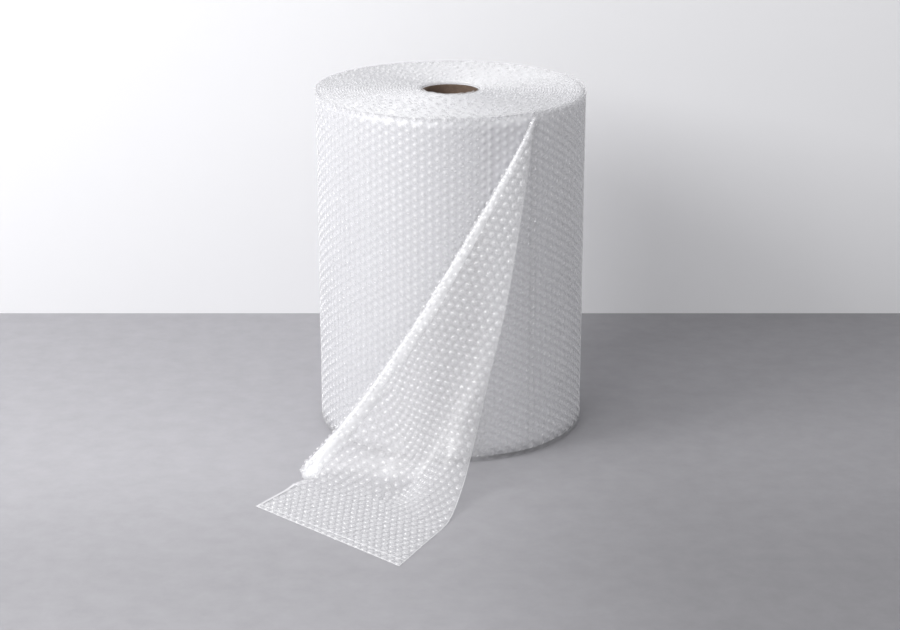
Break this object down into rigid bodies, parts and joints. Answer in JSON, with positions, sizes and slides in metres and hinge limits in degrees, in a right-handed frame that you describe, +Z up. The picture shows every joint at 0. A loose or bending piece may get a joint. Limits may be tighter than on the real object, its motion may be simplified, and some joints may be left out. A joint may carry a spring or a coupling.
{
  "type": "bubble film roll",
  "caption": "Upright roll of clear air-bubble cushioning film on a paper core, its loose end folded over and drawn down to the floor.",
  "frame": {"origin": "on the core's axis, at the floor that the roll stands on", "axes": "+Z up along the core's axis; the loose end lies towards -X and -Y, and the front is -Y"},
  "size_m": [0.4604, 0.718, 0.5],
  "materials": {
    "film": "gloss, clear polyethylene film that looks milky where many turns lie over each other",
    "core_paper": "matte, spiral-wound brown paper"
  },
  "bodies": {
    "root": {"bubble_film": "film", "core_tube": "core_paper"}
  },
  "joints": []
}
